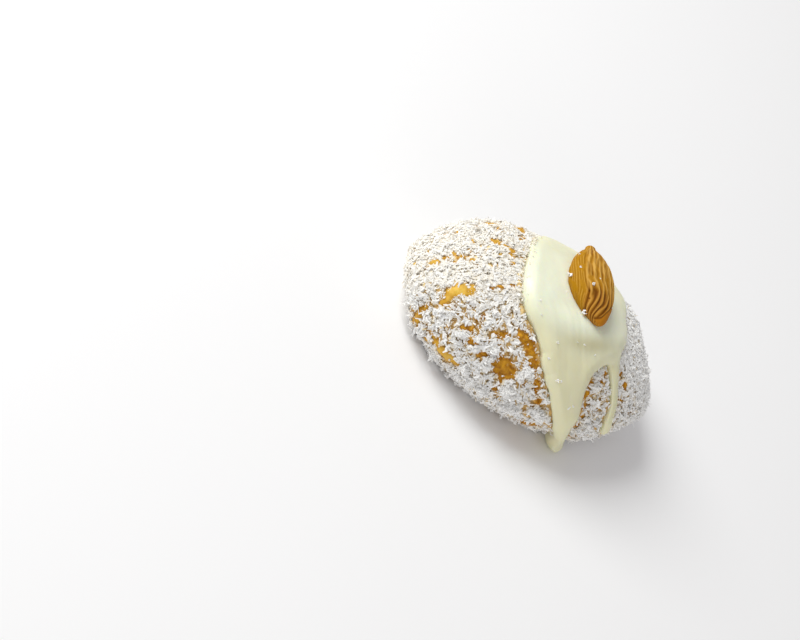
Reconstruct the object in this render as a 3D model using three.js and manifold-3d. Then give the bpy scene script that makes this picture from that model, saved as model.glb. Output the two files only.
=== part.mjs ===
// Almond cookie: an oval, hand-shaped dome of baked dough rolled in grated coconut, a cap of white
// chocolate that has run down its side in drips, and one whole almond pressed into the cap.
// Millimetres, +Z up, standing on its flat base, the long way of the oval along X.
import * as THREE from "three";
import { mergeVertices } from "three/addons/utils/BufferGeometryUtils.js";
import Module from "manifold-3d";

// The dome. A place on it is given on a flat chart centred over the crown: its direction from the
// centre is the direction round the dome, and its distance is 50 at the waist, the widest level.
const halfLength = 37.2;
const halfWidth = 27.4;
const crownHeight = 31;
const waistHeight = 9.6;
const underDepth = 17.1;        // half height of the ellipse that tucks in below the waist
const crownShift = [1.3, -1];   // the crown leans this far off the middle
const fullness = [1.11, 0.16, -0.1];   // 1 is an ellipse: mean, more to +X, more to +Y
const waistOnChart = 50;
const rimOnChart = waistOnChart * (1 + Math.asin(waistHeight / underDepth) / (Math.PI / 2));
const domeSteps = { around: 66, down: 22 };

// The top is pressed flatter where the chocolate lies: chart place, reach across and along, depth.
const press = { place: [2.5, 2], reach: [15, 16], depth: 3 };

// Lumps and hollows left by hand shaping: chart place, height, reach on the chart.
const lumps = [
  [-51, 12, 0.7, 6], [-24, 28, 0.7, 8], [-61, -14, -0.5, 7], [-6, 30, -0.8, 6],
  [23, 17, 0.7, 5], [37, 10, -0.9, 6], [45, -12, 1.0, 7], [47, -26, -0.5, 5],
  [37, -49, 0.8, 5], [27, -59, -0.8, 5], [-29, -17, 0.8, 3], [-50, -31, 0.9, 4],
  [-32, -42, 0.9, 3.5], [-9, -38, -0.5, 3], [22, 42, 0.7, 8], [-33, 46, -0.6, 8],
  [2, 56, 0.6, 7], [53, 24, 0.5, 8], [-10, -54, 0.5, 6], [-20, -30, 0.4, 6],
];
const lumpFade = 6;             // lumps die out over this chart distance above the rim

// White chocolate: rounded runs that flow together, each a chain of chart place and radius.
const cap = [[0.2, -3, 15.5], [1.3, 8.8, 14.9]];
const leftLobe = [[-4.8, -8, 9.7], [-2.6, 0.3, 10.7], [-3.9, 6.6, 9.6]];
const rightLobe = [[6.8, -5.8, 11.3], [7.4, -4.8, 11]];
const mainDrip = [
  [3, -14, 11.6], [2.6, -18.5, 9.3], [3.6, -24, 7.4], [5.4, -28.2, 5.9], [9.3, -34.6, 3.9],
  [13.8, -40, 3], [17, -44.6, 2], [24.5, -51, 1.1], [33.5, -56, 2.2],
];
const backDrip = [[6, 22, 5], [9, 32, 3.2], [11, 40, 2.6]];
const thinDrip = [
  [15.5, -14, 1.6], [17.5, -17, 1.3], [20, -20.6, 0.7], [24.3, -25.5, 0.6], [28, -30.4, 0.8],
  [32.4, -33.6, 0.9],
];
const flow = { lobe: 2, mainDrip: 3, backDrip: 4, thinDrip: 1.8 };   // how softly each joins
const chocolate = {
  thickness: 2.1,
  backThickness: 0.6,           // it has drained from the back towards the main drip
  thinThickness: 1.2,
  edge: 0.45,                   // height of the upright edge
  rounding: 2.6,                // the edge is rounded over this distance
  hangFill: 0.9,                // share of the tuck below the waist that a hanging drip fills
  poolFill: 0.5,                // share of the pressed hollow that it levels out
  step: 1.3,
};

// Almond kernel: blunt end, tip with a small nib, widest about half way.
const almond = {
  length: 25,
  width: 13.1,
  thickness: 8.4,
  fullness: 2.764,              // brings the widest place to the full width
  bluntPower: 0.765,
  bluntRound: 0.045,            // how rounded the blunt end is
  tipPower: 0.67,
  tipRound: 0.012,
  nib: { reach: 0.045, width: 0.23 },   // shares of the length and of the width
  flatness: 0.85,               // the thickness grows sooner than the width from each end
  skew: { blunt: -2.2, tip: 0.23 },    // sideways shift of the two ends
  centre: [2.5, 0.73, 33.1],
  heading: 97.5,                // degrees from +X to the tip
  steps: { around: 24, along: 26 },
};
const gap = 0.3;                // clearance between touching pieces

const finishes = {
  cookie: { color: 0xe8dccb, roughness: 0.92, metalness: 0 },
  white_chocolate: { color: 0xe9e7c6, roughness: 0.38, metalness: 0 },
  almond: { color: 0xb5762b, roughness: 0.6, metalness: 0 },
};

const clamp = (x, low, high) => Math.min(Math.max(x, low), high);

function smoothStep(x) {
  const t = clamp(x, 0, 1);
  return t * t * (3 - 2 * t);
}

// The dome without lumps: an oval whose radius and height follow powers of a quarter turn.
function smoothDome(u, v) {
  const turn = Math.atan2(v, u);
  const level = Math.hypot(u, v) / waistOnChart;
  const rise = (Math.PI / 2) * (1 - level);
  const reach = Math.cos(rise);
  const height = Math.sin(Math.abs(rise));
  if (rise < 0) {
    return new THREE.Vector3(
      halfLength * Math.cos(turn) * reach,
      halfWidth * Math.sin(turn) * reach,
      waistHeight - underDepth * height,
    );
  }
  const power = fullness[0] + fullness[1] * Math.cos(turn) + fullness[2] * Math.sin(turn);
  const lean = height ** 1.5;
  return new THREE.Vector3(
    halfLength * Math.cos(turn) * reach ** power + crownShift[0] * lean,
    halfWidth * Math.sin(turn) * reach ** power + crownShift[1] * lean,
    waistHeight + (crownHeight - waistHeight) * height ** fullness[0],
  );
}

// The outward direction of a surface given on the chart, from two short steps across it.
function outwardOf(surface, u, v) {
  const step = 0.05;
  const alongU = surface(u + step, v).sub(surface(u - step, v));
  const alongV = surface(u, v + step).sub(surface(u, v - step));
  return alongU.cross(alongV).normalize();
}

function lumpHeight(u, v) {
  const fade = smoothStep((rimOnChart - Math.hypot(u, v)) / lumpFade);
  let height = 0;
  for (const [lumpU, lumpV, rise, reach] of lumps) {
    height += rise * Math.exp(-((u - lumpU) ** 2 + (v - lumpV) ** 2) / (2 * reach ** 2));
  }
  return height * fade;
}

// The coated surface of the cookie at a chart place.
function cookieSurface(u, v) {
  const point = smoothDome(u, v);
  point.addScaledVector(outwardOf(smoothDome, u, v), lumpHeight(u, v));
  point.z -= pressDepth(u, v);
  return point;
}

function pressDepth(u, v) {
  const pressU = (u - press.place[0]) / press.reach[0];
  const pressV = (v - press.place[1]) / press.reach[1];
  return press.depth * Math.exp(-((pressU ** 2 + pressV ** 2) ** 2));
}

// Chocolate lies along the surface's own direction, and below the waist it hangs straight down.
function layDirection(u, v) {
  const direction = outwardOf(cookieSurface, u, v);
  direction.z = Math.max(direction.z, 0);
  return direction.normalize();
}

// A sphere mesh whose vertices are moved to place(share round, share from the lower pole up).
function movedSphere(around, down, place) {
  const geometry = new THREE.SphereGeometry(1, around, down);
  const position = geometry.attributes.position;
  const uv = geometry.attributes.uv;
  for (let i = 0; i < position.count; i += 1) {
    const point = place(uv.getX(i), uv.getY(i));
    position.setXYZ(i, point.x, point.y, point.z);
  }
  return closedGeometry(geometry);
}

// Only positions are kept, so that shared corners merge into one closed body.
function closedGeometry(geometry) {
  geometry.deleteAttribute("normal");
  geometry.deleteAttribute("uv");
  const merged = mergeVertices(geometry, 1e-4);
  merged.computeVertexNormals();
  return merged;
}

// Rows of the sphere run from the crown to the rim, and the lowest pole is the base's middle.
function cookieGeometry() {
  const rows = domeSteps.down + 1;
  return movedSphere(domeSteps.around, rows, (round, up) => {
    const row = Math.round((1 - up) * rows);
    if (row === rows) {
      return new THREE.Vector3(0, 0, 0);
    }
    const reach = (rimOnChart * row) / domeSteps.down;
    const turn = Math.round(round * domeSteps.around) * ((2 * Math.PI) / domeSteps.around);
    return cookieSurface(-reach * Math.cos(turn), -reach * Math.sin(turn));
  });
}

// The kernel's width at a share of its length from the blunt end: zero at both ends, one where
// it is widest, with the nib's small ball flowing into the tip.
function kernelWidth(share) {
  const { reach, width } = almond.nib;
  const left = 1 - share;
  const toTip = Math.max(left - reach, 0);
  const fromBlunt = Math.sqrt(share ** 2 + almond.bluntRound * share) ** almond.bluntPower;
  const fromTip = Math.sqrt(toTip ** 2 + almond.tipRound * toTip) ** almond.tipPower;
  const ball = width * Math.sqrt(Math.max(1 - (left / reach - 1) ** 2, 0));
  return Math.cbrt((almond.fullness * fromBlunt * fromTip) ** 3 + ball ** 3);
}

// Sideways shift of the kernel's middle line.
function kernelSkew(share) {
  const { blunt, tip } = almond.skew;
  return blunt * clamp(1 - 2 * share, 0, 1) ** 2 + tip * clamp(2 * share - 1, 0, 1) ** 2;
}

// The kernel along its own X, grown by extra on every side.
function kernelGeometry(extra) {
  const { around, along } = almond.steps;
  return movedSphere(around, along, (round, up) => {
    const share = clamp(0.5 - 0.5 * Math.cos(Math.PI * up), 0, 1);
    const width = kernelWidth(share);
    const turn = 2 * Math.PI * round;
    return new THREE.Vector3(
      (share - 0.5) * (almond.length + 2 * extra),
      kernelSkew(share) - (almond.width / 2 + extra) * width * Math.cos(turn),
      -(almond.thickness / 2 + extra) * width ** almond.flatness * Math.sin(turn),
    );
  });
}

// Distance from a point to a chain of balls whose radius changes evenly between places.
function distanceToChain(point, chain) {
  const centres = chain.map(([u, v]) => cookieSurface(u, v));
  let nearest = Infinity;
  for (let i = 0; i + 1 < chain.length; i += 1) {
    const span = centres[i + 1].clone().sub(centres[i]);
    const away = point.clone().sub(centres[i]);
    const share = clamp(away.dot(span) / span.lengthSq(), 0, 1);
    const radius = chain[i][2] + (chain[i + 1][2] - chain[i][2]) * share;
    nearest = Math.min(nearest, away.addScaledVector(span, -share).length() - radius);
  }
  return nearest;
}

// The lesser of two distances, rounded over where they are alike, so that two runs flow together.
function flowTogether(a, b, softness) {
  const share = clamp(0.5 + (0.5 * (b - a)) / softness, 0, 1);
  return b + (a - b) * share - softness * share * (1 - share);
}

// How far a chart place lies outside the chocolate's edge, and outside all but the thin drip.
function outsideChocolate(u, v) {
  const point = cookieSurface(u, v);
  let thick = distanceToChain(point, cap);
  thick = flowTogether(thick, distanceToChain(point, leftLobe), flow.lobe);
  thick = flowTogether(thick, distanceToChain(point, rightLobe), flow.lobe);
  thick = flowTogether(thick, distanceToChain(point, mainDrip), flow.mainDrip);
  thick = flowTogether(thick, distanceToChain(point, backDrip), flow.backDrip);
  return { all: flowTogether(thick, distanceToChain(point, thinDrip), flow.thinDrip), thick };
}

// Height of the chocolate over the cookie: a quarter-round edge up to its full thickness.
function chocolateHeight(u, v, inside, thick) {
  const share = clamp(inside / chocolate.rounding, 0, 1);
  const roundUp = Math.sqrt(1 - (1 - share) ** 2);
  const drained = clamp((v + 8) / 20, 0, 1) * (chocolate.thickness - chocolate.backThickness);
  const bodyShare = smoothStep((2 - thick) / 3);
  const extra = (chocolate.thickness - drained - chocolate.thinThickness) * bodyShare;
  const full = chocolate.thinThickness + extra;
  const belowWaist = Math.max(Math.hypot(u, v) / waistOnChart - 1, 0) * (Math.PI / 2);
  const tuck = halfWidth * (1 - Math.cos(belowWaist)) * chocolate.hangFill;
  const pool = pressDepth(u, v) * chocolate.poolFill;
  return chocolate.edge + (full - chocolate.edge + tuck + pool) * roundUp;
}

// A square chart grid cut along the line where outside() is zero. Corners close to the line are
// first moved onto it, so that no sliver is left.
function cutGrid(outside, reach, step) {
  const count = Math.ceil(reach / step);
  const corners = new Map();
  const name = (i, j) => `${i},${j}`;
  for (let i = -count; i <= count; i += 1) {
    for (let j = -count; j <= count; j += 1) {
      const u = i * step;
      const v = j * step;
      const off = Math.hypot(u, v) < rimOnChart ? outside(u, v).all : step;
      corners.set(name(i, j), { u, v, off });
    }
  }
  const moved = new Map();
  const neighbours = [[1, 0], [0, 1], [-1, 1], [-1, 0], [0, -1], [1, -1]];
  for (const [key, corner] of corners) {
    const [i, j] = key.split(",").map(Number);
    let best = { share: 0.35, other: null };
    for (const [di, dj] of neighbours) {
      const other = corners.get(name(i + di, j + dj));
      if (other && other.off * corner.off < 0) {
        const share = corner.off / (corner.off - other.off);
        best = share < best.share ? { share, other } : best;
      }
    }
    moved.set(key, best.other ? between(corner, best.other, best.share) : corner);
  }
  const places = [];
  const numbers = new Map();
  const numberOf = (key, place) => {
    if (!numbers.has(key)) {
      numbers.set(key, places.length);
      places.push(place);
    }
    return numbers.get(key);
  };
  const triangles = [];
  for (let i = -count; i < count; i += 1) {
    for (let j = -count; j < count; j += 1) {
      const square = [name(i, j), name(i + 1, j), name(i + 1, j + 1), name(i, j + 1)];
      for (const keys of [[square[0], square[1], square[3]], [square[1], square[2], square[3]]]) {
        const loop = cutTriangle(keys, moved).map(([key, place]) => numberOf(key, place));
        for (let k = 1; k + 1 < loop.length; k += 1) {
          triangles.push([loop[0], loop[k], loop[k + 1]]);
        }
      }
    }
  }
  return { places, triangles };
}

function between(a, b, share) {
  return { u: a.u + (b.u - a.u) * share, v: a.v + (b.v - a.v) * share, off: 0 };
}

// The part of one triangle that lies inside, as a loop of [key, place].
function cutTriangle(keys, corners) {
  const loop = [];
  const offs = keys.map((key) => corners.get(key).off);
  if (Math.min(...offs) >= 0) {
    return loop;
  }
  for (let k = 0; k < 3; k += 1) {
    const here = keys[k];
    const next = keys[(k + 1) % 3];
    const a = corners.get(here);
    const b = corners.get(next);
    if (a.off <= 0) {
      loop.push([here, a]);
    }
    if (a.off * b.off < 0) {
      loop.push([[here, next].sort().join("|"), between(a, b, a.off / (a.off - b.off))]);
    }
  }
  return loop;
}

// The chocolate: a lower face just clear of the cookie, an upper face, and an upright edge.
function chocolateGeometry() {
  const { places, triangles } = cutGrid(outsideChocolate, rimOnChart, chocolate.step);
  const lower = [];
  const upper = [];
  for (const { u, v } of places) {
    const { all, thick } = outsideChocolate(u, v);
    const height = chocolateHeight(u, v, Math.max(-all, 0), thick);
    const start = cookieSurface(u, v);
    const direction = layDirection(u, v);
    lower.push(...start.addScaledVector(direction, gap).toArray());
    upper.push(...start.addScaledVector(direction, height).toArray());
  }
  const faces = [];
  const edges = new Map();
  const shift = places.length;
  for (const [a, b, c] of triangles) {
    faces.push(a + shift, b + shift, c + shift, c, b, a);
    for (const [from, to] of [[a, b], [b, c], [c, a]]) {
      edges.set(`${from},${to}`, [from, to]);
    }
  }
  for (const [from, to] of edges.values()) {
    if (!edges.has(`${to},${from}`)) {
      faces.push(from + shift, from, to, from + shift, to, to + shift);
    }
  }
  const geometry = new THREE.BufferGeometry();
  geometry.setAttribute("position", new THREE.Float32BufferAttribute([...lower, ...upper], 3));
  geometry.setIndex(faces);
  return geometry;
}

// Moves a kernel mesh to where the almond lies on the cap.
function placeAlmond(object) {
  object.position.set(...almond.centre);
  object.rotation.set(0, 0, THREE.MathUtils.degToRad(almond.heading));
  object.updateMatrixWorld();
  return object;
}

function toSolid(wasm, geometry) {
  return new wasm.Manifold(new wasm.Mesh({
    numProp: 3,
    vertProperties: new Float32Array(geometry.attributes.position.array),
    triVerts: new Uint32Array(geometry.index.array),
  }));
}

function toGeometry(solid) {
  const mesh = solid.getMesh();
  const geometry = new THREE.BufferGeometry();
  geometry.setAttribute("position", new THREE.Float32BufferAttribute(mesh.vertProperties, 3));
  geometry.setIndex([...mesh.triVerts]);
  geometry.computeVertexNormals();
  return geometry;
}

// The chocolate with the bed that the almond has pressed into it.
async function beddedChocolate() {
  const wasm = await Module();
  wasm.setup();
  const bed = placeAlmond(new THREE.Mesh(kernelGeometry(gap)));
  const bedGeometry = bed.geometry.clone().applyMatrix4(bed.matrixWorld);
  return toGeometry(toSolid(wasm, chocolateGeometry()).subtract(toSolid(wasm, bedGeometry)));
}

function piece(name, geometry) {
  const mesh = new THREE.Mesh(geometry, new THREE.MeshStandardMaterial(finishes[name]));
  mesh.name = name;
  return mesh;
}

const cookie = new THREE.Group();
cookie.add(piece("cookie", cookieGeometry()));
cookie.add(piece("white_chocolate", await beddedChocolate()));
cookie.add(placeAlmond(piece("almond", kernelGeometry(0))));

// The origin is under the middle of the whole, on the base.
const outline = new THREE.Box3().setFromObject(cookie, true);
const middle = outline.getCenter(new THREE.Vector3());
cookie.position.set(-middle.x, -middle.y, -outline.min.z);

export default cookie;
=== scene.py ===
import math

import bpy
import numpy as np
from mathutils import Matrix, Vector


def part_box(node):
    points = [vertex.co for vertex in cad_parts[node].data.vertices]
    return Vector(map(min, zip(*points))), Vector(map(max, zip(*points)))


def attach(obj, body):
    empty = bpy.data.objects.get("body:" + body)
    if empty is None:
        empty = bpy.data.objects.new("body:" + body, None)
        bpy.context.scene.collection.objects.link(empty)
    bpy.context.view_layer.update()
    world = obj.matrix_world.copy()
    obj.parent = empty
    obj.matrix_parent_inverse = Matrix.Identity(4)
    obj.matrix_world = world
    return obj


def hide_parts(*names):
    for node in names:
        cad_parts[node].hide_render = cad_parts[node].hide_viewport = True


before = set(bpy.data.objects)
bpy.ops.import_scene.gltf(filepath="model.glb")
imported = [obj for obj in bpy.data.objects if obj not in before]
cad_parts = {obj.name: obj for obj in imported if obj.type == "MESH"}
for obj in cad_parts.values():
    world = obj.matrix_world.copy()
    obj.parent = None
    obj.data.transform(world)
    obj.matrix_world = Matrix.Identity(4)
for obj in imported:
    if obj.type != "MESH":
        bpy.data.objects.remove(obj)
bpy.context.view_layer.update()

# The dome, as in the frame. A chart place (u, v) gives the direction round the dome, and its distance
# from the chart's centre gives the level: 0 is the crown and waistOnChart the widest level.
dome = {
    "halfLength": 37.2,
    "halfWidth": 27.4,
    "crownHeight": 31.0,
    "waistHeight": 9.6,
    "underDepth": 17.1,
    "crownShift": (1.3, -1.0),
    "fullness": (1.11, 0.16, -0.10),
    "waistOnChart": 50.0,
    "pressPlace": (2.5, 2.0),
    "pressReach": (15.0, 16.0),
    "pressDepth": 3.0,
    "lumpFade": 6.0,
    "lumps": [  # chart place, height, reach
        (-51, 12, 0.7, 6), (-24, 28, 0.7, 8), (-61, -14, -0.5, 7), (-6, 30, -0.8, 6),
        (23, 17, 0.7, 5), (37, 10, -0.9, 6), (45, -12, 1.0, 7), (47, -26, -0.5, 5),
        (37, -49, 0.8, 5), (27, -59, -0.8, 5), (-29, -17, 0.8, 3), (-50, -31, 0.9, 4),
        (-32, -42, 0.9, 3.5), (-9, -38, -0.5, 3), (22, 42, 0.7, 8), (-33, 46, -0.6, 8),
        (2, 56, 0.6, 7), (53, 24, 0.5, 8), (-10, -54, 0.5, 6), (-20, -30, 0.4, 6),
    ],
}
underTurn = math.asin(dome["waistHeight"] / dome["underDepth"]) / (math.pi / 2)
rimOnChart = dome["waistOnChart"] * (1 + underTurn)


# An S from 0 at the start to 1 a span further on; a negative span runs back.
def ramp(x, start, span):
    t = np.clip((x - start) / span, 0, 1)
    return t * t * (3 - 2 * t)


def bell(*ways):  # exp of minus the sum of squares
    return np.exp(-sum(way ** 2 for way in ways))


# A place along axes turned by some degrees: x cos + y sin, and y cos - x sin.
def turnedAxes(x, y, degrees):
    c, s = math.cos(math.radians(degrees)), math.sin(math.radians(degrees))
    return x * c + y * s, y * c - x * s


def turnFrom(angle, degrees):  # angle from a direction in degrees, between -pi and pi
    away = angle - math.radians(degrees)
    return np.arctan2(np.sin(away), np.cos(away))


def pointsOf(x, y, z):  # three arrays, or an array and numbers, put together as points
    return np.stack(np.broadcast_arrays(x, y, z), axis=-1)


def unit(vectors):
    return vectors / np.maximum(np.linalg.norm(vectors, axis=-1, keepdims=True), 1e-12)


# Oval dome: radius = half axis x cos(rise)^power and height = sin(rise)^power above the waist,
# with a quarter ellipse below it; the crown is shifted sideways by sin(rise)^1.5.
def smoothDome(u, v):
    turn = np.arctan2(v, u)
    rise = (math.pi / 2) * (1 - np.hypot(u, v) / dome["waistOnChart"])
    reach = np.maximum(np.cos(rise), 0)
    height = np.sin(np.abs(rise))
    above = rise >= 0
    mean, toX, toY = dome["fullness"]
    power = np.where(above, mean + toX * np.cos(turn) + toY * np.sin(turn), 1.0)
    lean = np.where(above, height ** 1.5, 0.0)
    upper = dome["waistHeight"] + (dome["crownHeight"] - dome["waistHeight"]) * height ** mean
    lower = dome["waistHeight"] - dome["underDepth"] * height
    return pointsOf(
        dome["halfLength"] * np.cos(turn) * reach ** power + dome["crownShift"][0] * lean,
        dome["halfWidth"] * np.sin(turn) * reach ** power + dome["crownShift"][1] * lean,
        np.where(above, upper, lower))


# Cross product of two steps on a surface, along u and along v: outward, as long as their area.
def crossedSteps(surface, u, v, step):
    alongU = surface(u + step, v) - surface(u - step, v)
    alongV = surface(u, v + step) - surface(u, v - step)
    return np.cross(alongU, alongV)


def outwardOf(surface, u, v):
    return unit(crossedSteps(surface, u, v, 0.05))


# Sum of round bumps, height x exp(-distance^2 / 2 reach^2), fading out above the rim.
def lumpHeight(u, v):
    total = np.zeros(np.shape(u))
    for lumpU, lumpV, rise, reach in dome["lumps"]:
        total = total + rise * np.exp(-((u - lumpU) ** 2 + (v - lumpV) ** 2) / (2 * reach ** 2))
    return total * ramp(np.hypot(u, v), rimOnChart, -dome["lumpFade"])


# Flat-bottomed hollow under the cap: depth x exp(-q^2), q the squared distance in reaches.
def pressDepth(u, v):
    q = ((u - dome["pressPlace"][0]) / dome["pressReach"][0]) ** 2
    q = q + ((v - dome["pressPlace"][1]) / dome["pressReach"][1]) ** 2
    return dome["pressDepth"] * np.exp(-q * q)


# The coat's mean outer face: smooth dome + lumps along its direction - hollow straight down.
def cookieSurface(u, v):
    points = smoothDome(u, v) + outwardOf(smoothDome, u, v) * lumpHeight(u, v)[..., None]
    points[..., 2] -= pressDepth(u, v)
    return points


# From the dome's own middle to the middle of the frame's cookie, and to the cookie's base.
def shiftToFrame():
    turn, level = np.meshgrid(np.linspace(0, 2 * math.pi, 361), np.linspace(0.02, 1, 120) * rimOnChart)
    points = cookieSurface(level * np.cos(turn), level * np.sin(turn)).reshape(-1, 3)
    low, high = (np.array(corner) * 1000 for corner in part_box("cookie"))
    shift = (low + high) / 2 - (points.min(0) + points.max(0)) / 2
    shift[2] = low[2]
    return shift


frameShift = shiftToFrame()


def toFrame(points):  # millimetres about the dome -> metres in the frame
    return (points + frameShift) * 0.001


# Smooth random field: sum of sine waves in random directions, about one unit high.
def waveNoise(points, wavelength, seed, waves=28):
    rng = np.random.default_rng(seed)
    directions = unit(rng.normal(size=(waves, 3)))
    lengths = wavelength * rng.uniform(0.65, 1.5, waves)
    phases = rng.uniform(0, 2 * math.pi, waves)
    total = np.zeros(points.shape[:-1])
    for direction, length, phase in zip(directions, lengths, phases):
        total += np.sin(points @ direction * (2 * math.pi / length) + phase)
    return total * math.sqrt(2 / waves)


def layeredNoise(points, layers):  # each layer: height, wavelength, seed
    return sum(height * waveNoise(points, wavelength, seed) for height, wavelength, seed in layers)


def newObject(name, data):
    made = bpy.data.objects.new(name, data)
    bpy.context.scene.collection.objects.link(made)
    return made


# One mesh object from points and a list of face arrays, each array with one corner count.
def makePiece(name, points, faces, material, smooth=True, values=None):
    mesh = bpy.data.meshes.new(name)
    corners = np.concatenate([f.ravel() for f in faces]).astype(np.int32)
    counts = np.concatenate([np.full(len(f), f.shape[1]) for f in faces])
    starts = np.concatenate([[0], np.cumsum(counts)[:-1]]).astype(np.int32)
    mesh.vertices.add(len(points))
    mesh.vertices.foreach_set("co", toFrame(points).astype(np.float32).ravel())
    mesh.loops.add(len(corners))
    mesh.loops.foreach_set("vertex_index", corners)
    mesh.polygons.add(len(counts))
    mesh.polygons.foreach_set("loop_start", starts)
    mesh.update(calc_edges=True)
    mesh.polygons.foreach_set("use_smooth", np.full(len(counts), smooth))
    for label, data in (values or {}).items():
        attribute = mesh.attributes.new(label, "FLOAT", "POINT")
        attribute.data.foreach_set("value", np.asarray(data, np.float32).ravel())
    mesh.materials.append(material)
    return newObject(name, mesh)


# A piece from rows of points that close round, with a point at each pole; masks are 0 at the poles.
def makeRound(name, rows, poles, masks, material):
    count, around = rows.shape[:2]
    index = np.arange(count * around).reshape(count, around)
    turned = np.roll(index, -1, axis=1)
    sides = np.stack([index[:-1], index[1:], turned[1:], turned[:-1]], axis=-1).reshape(-1, 4)
    top = np.stack([np.full(around, index.size), index[0], turned[0]], axis=-1)
    bottom = np.stack([np.full(around, index.size + 1), turned[-1], index[-1]], axis=-1)
    values = {label: np.append(mask.ravel(), [0, 0]) for label, mask in masks.items()}
    return makePiece(name, np.concatenate([rows.reshape(-1, 3), poles]),
                     [sides, np.concatenate([top, bottom])], material, values=values)


# One node, set by the names of its inputs or of its own settings; "fixed" sets unnamed inputs.
def newNode(tree, kind, **settings):
    node = tree.nodes.new(kind)
    node.location = (260 * (len(tree.nodes) % 6) - 1500, 300 * (len(tree.nodes) // 6) - 400)
    for key, value in settings.items():
        if key == "fixed":
            for index, number in value.items():
                node.inputs[index].default_value = number
        elif key in node.inputs:
            node.inputs[key].default_value = value
        else:
            setattr(node, key, value)
    return node


# A shader group; a link runs from one node's output to another's input, and "in" and "out" are
# the group's own ends.
def newGroup(name, inputs, outputs, nodes, links):
    group = bpy.data.node_groups.new(name, "ShaderNodeTree")
    for side, sockets in (("INPUT", inputs), ("OUTPUT", outputs)):
        for label, kind in sockets.items():
            group.interface.new_socket(name=label, in_out=side, socket_type="NodeSocket" + kind)
    made = {label: newNode(group, kind, **settings) for label, (kind, settings) in nodes.items()}
    made["in"] = newNode(group, "NodeGroupInput")
    made["out"] = newNode(group, "NodeGroupOutput")
    for source, output, target, entry in links:
        group.links.new(made[source].outputs[output], made[target].inputs[entry])
    return group


groups = {
    # blends two colours by soft cloudy noise: 0.5 + (noise - 0.5) x contrast
    "mottle": newGroup(
        "mottle",
        {"Vector": "Vector", "Scale": "Float", "Contrast": "Float", "Light": "Color", "Dark": "Color"},
        {"Color": "Color"},
        {"noise": ("ShaderNodeTexNoise", {"Detail": 6.0, "Roughness": 0.6}),
         "centred": ("ShaderNodeMath", {"operation": "SUBTRACT", "fixed": {1: 0.5}}),
         "spread": ("ShaderNodeMath", {"operation": "MULTIPLY_ADD", "use_clamp": True, "fixed": {2: 0.5}}),
         "mix": ("ShaderNodeMix", {"data_type": "RGBA"})},
        [("in", "Vector", "noise", "Vector"), ("in", "Scale", "noise", "Scale"),
         ("noise", "Fac", "centred", 0), ("centred", 0, "spread", 0), ("in", "Contrast", "spread", 1),
         ("spread", 0, "mix", "Factor"), ("in", "Dark", "mix", "A"), ("in", "Light", "mix", "B"),
         ("mix", "Result", "out", "Color")]),
    # fine grain: two sizes of noise added into a height, and a roughness from the coarse one
    "grain": newGroup(
        "grain",
        {"Vector": "Vector", "Coarse Scale": "Float", "Fine Scale": "Float", "Fine Share": "Float",
         "Low Roughness": "Float", "High Roughness": "Float"},
        {"Height": "Float", "Roughness": "Float"},
        {"coarse": ("ShaderNodeTexNoise", {"Detail": 3.0, "Roughness": 0.5}),
         "fine": ("ShaderNodeTexNoise", {"Detail": 2.0, "Roughness": 0.6}),
         "total": ("ShaderNodeMath", {"operation": "MULTIPLY_ADD"}),
         "rough": ("ShaderNodeMapRange", {})},
        [("in", "Vector", "coarse", "Vector"), ("in", "Coarse Scale", "coarse", "Scale"),
         ("in", "Vector", "fine", "Vector"), ("in", "Fine Scale", "fine", "Scale"),
         ("fine", "Fac", "total", 0), ("in", "Fine Share", "total", 1), ("coarse", "Fac", "total", 2),
         ("coarse", "Fac", "rough", "Value"), ("in", "Low Roughness", "rough", "To Min"),
         ("in", "High Roughness", "rough", "To Max"), ("total", 0, "out", "Height"),
         ("rough", "Result", "out", "Roughness")]),
}


def placeGroup(tree, label, vector, values):
    node = newNode(tree, "ShaderNodeGroup", node_tree=groups[label])
    tree.links.new(vector, node.inputs["Vector"])
    for key, value in values.items():
        node.inputs[key].default_value = value
    return node


def mottled(tree, vector, cloud, light, dark):  # the cloud is its scale and its contrast
    values = {"Scale": cloud[0], "Contrast": cloud[1], "Light": light, "Dark": dark}
    return placeGroup(tree, "mottle", vector, values).outputs["Color"]


# The factor is a number or the name of an attribute; a colour is four numbers or an output.
def blendColours(tree, factor, first, second, way="MIX"):
    mix = newNode(tree, "ShaderNodeMix", data_type="RGBA", blend_type=way)
    if isinstance(factor, str):
        factor = newNode(tree, "ShaderNodeAttribute", attribute_name=factor).outputs["Fac"]
    for socket, value in (("Factor", factor), ("A", first), ("B", second)):
        if isinstance(value, (float, tuple)):
            mix.inputs[socket].default_value = value
        else:
            tree.links.new(value, mix.inputs[socket])
    return mix.outputs["Result"]


# A material whose colour a function paints. The finish is a grain for the roughness and the bump:
# two scales, the share of the fine one, roughness from and to, the bump's strength and distance.
def newMaterial(name, settings, paint):
    material = bpy.data.materials.new(name)
    material.use_nodes = True
    tree = material.node_tree
    surface = tree.nodes["Principled BSDF"]
    for key, value in settings["shader"].items():
        surface.inputs[key].default_value = value
    place = newNode(tree, "ShaderNodeTexCoord").outputs["Object"]
    tree.links.new(paint(tree, place), surface.inputs["Base Color"])
    if "finish" in settings:
        addGrain(tree, surface, place, *settings["finish"])
    return material


def addGrain(tree, surface, place, coarse, fine, share, low, high, strength, distance):
    grain = placeGroup(tree, "grain", place, {
        "Coarse Scale": coarse, "Fine Scale": fine, "Fine Share": share,
        "Low Roughness": low, "High Roughness": high})
    bump = newNode(tree, "ShaderNodeBump", Strength=strength, Distance=distance)
    tree.links.new(grain.outputs["Roughness"], surface.inputs["Roughness"])
    tree.links.new(grain.outputs["Height"], bump.inputs["Height"])
    tree.links.new(bump.outputs["Normal"], surface.inputs["Normal"])


print("shapes and shader groups ready")

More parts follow.
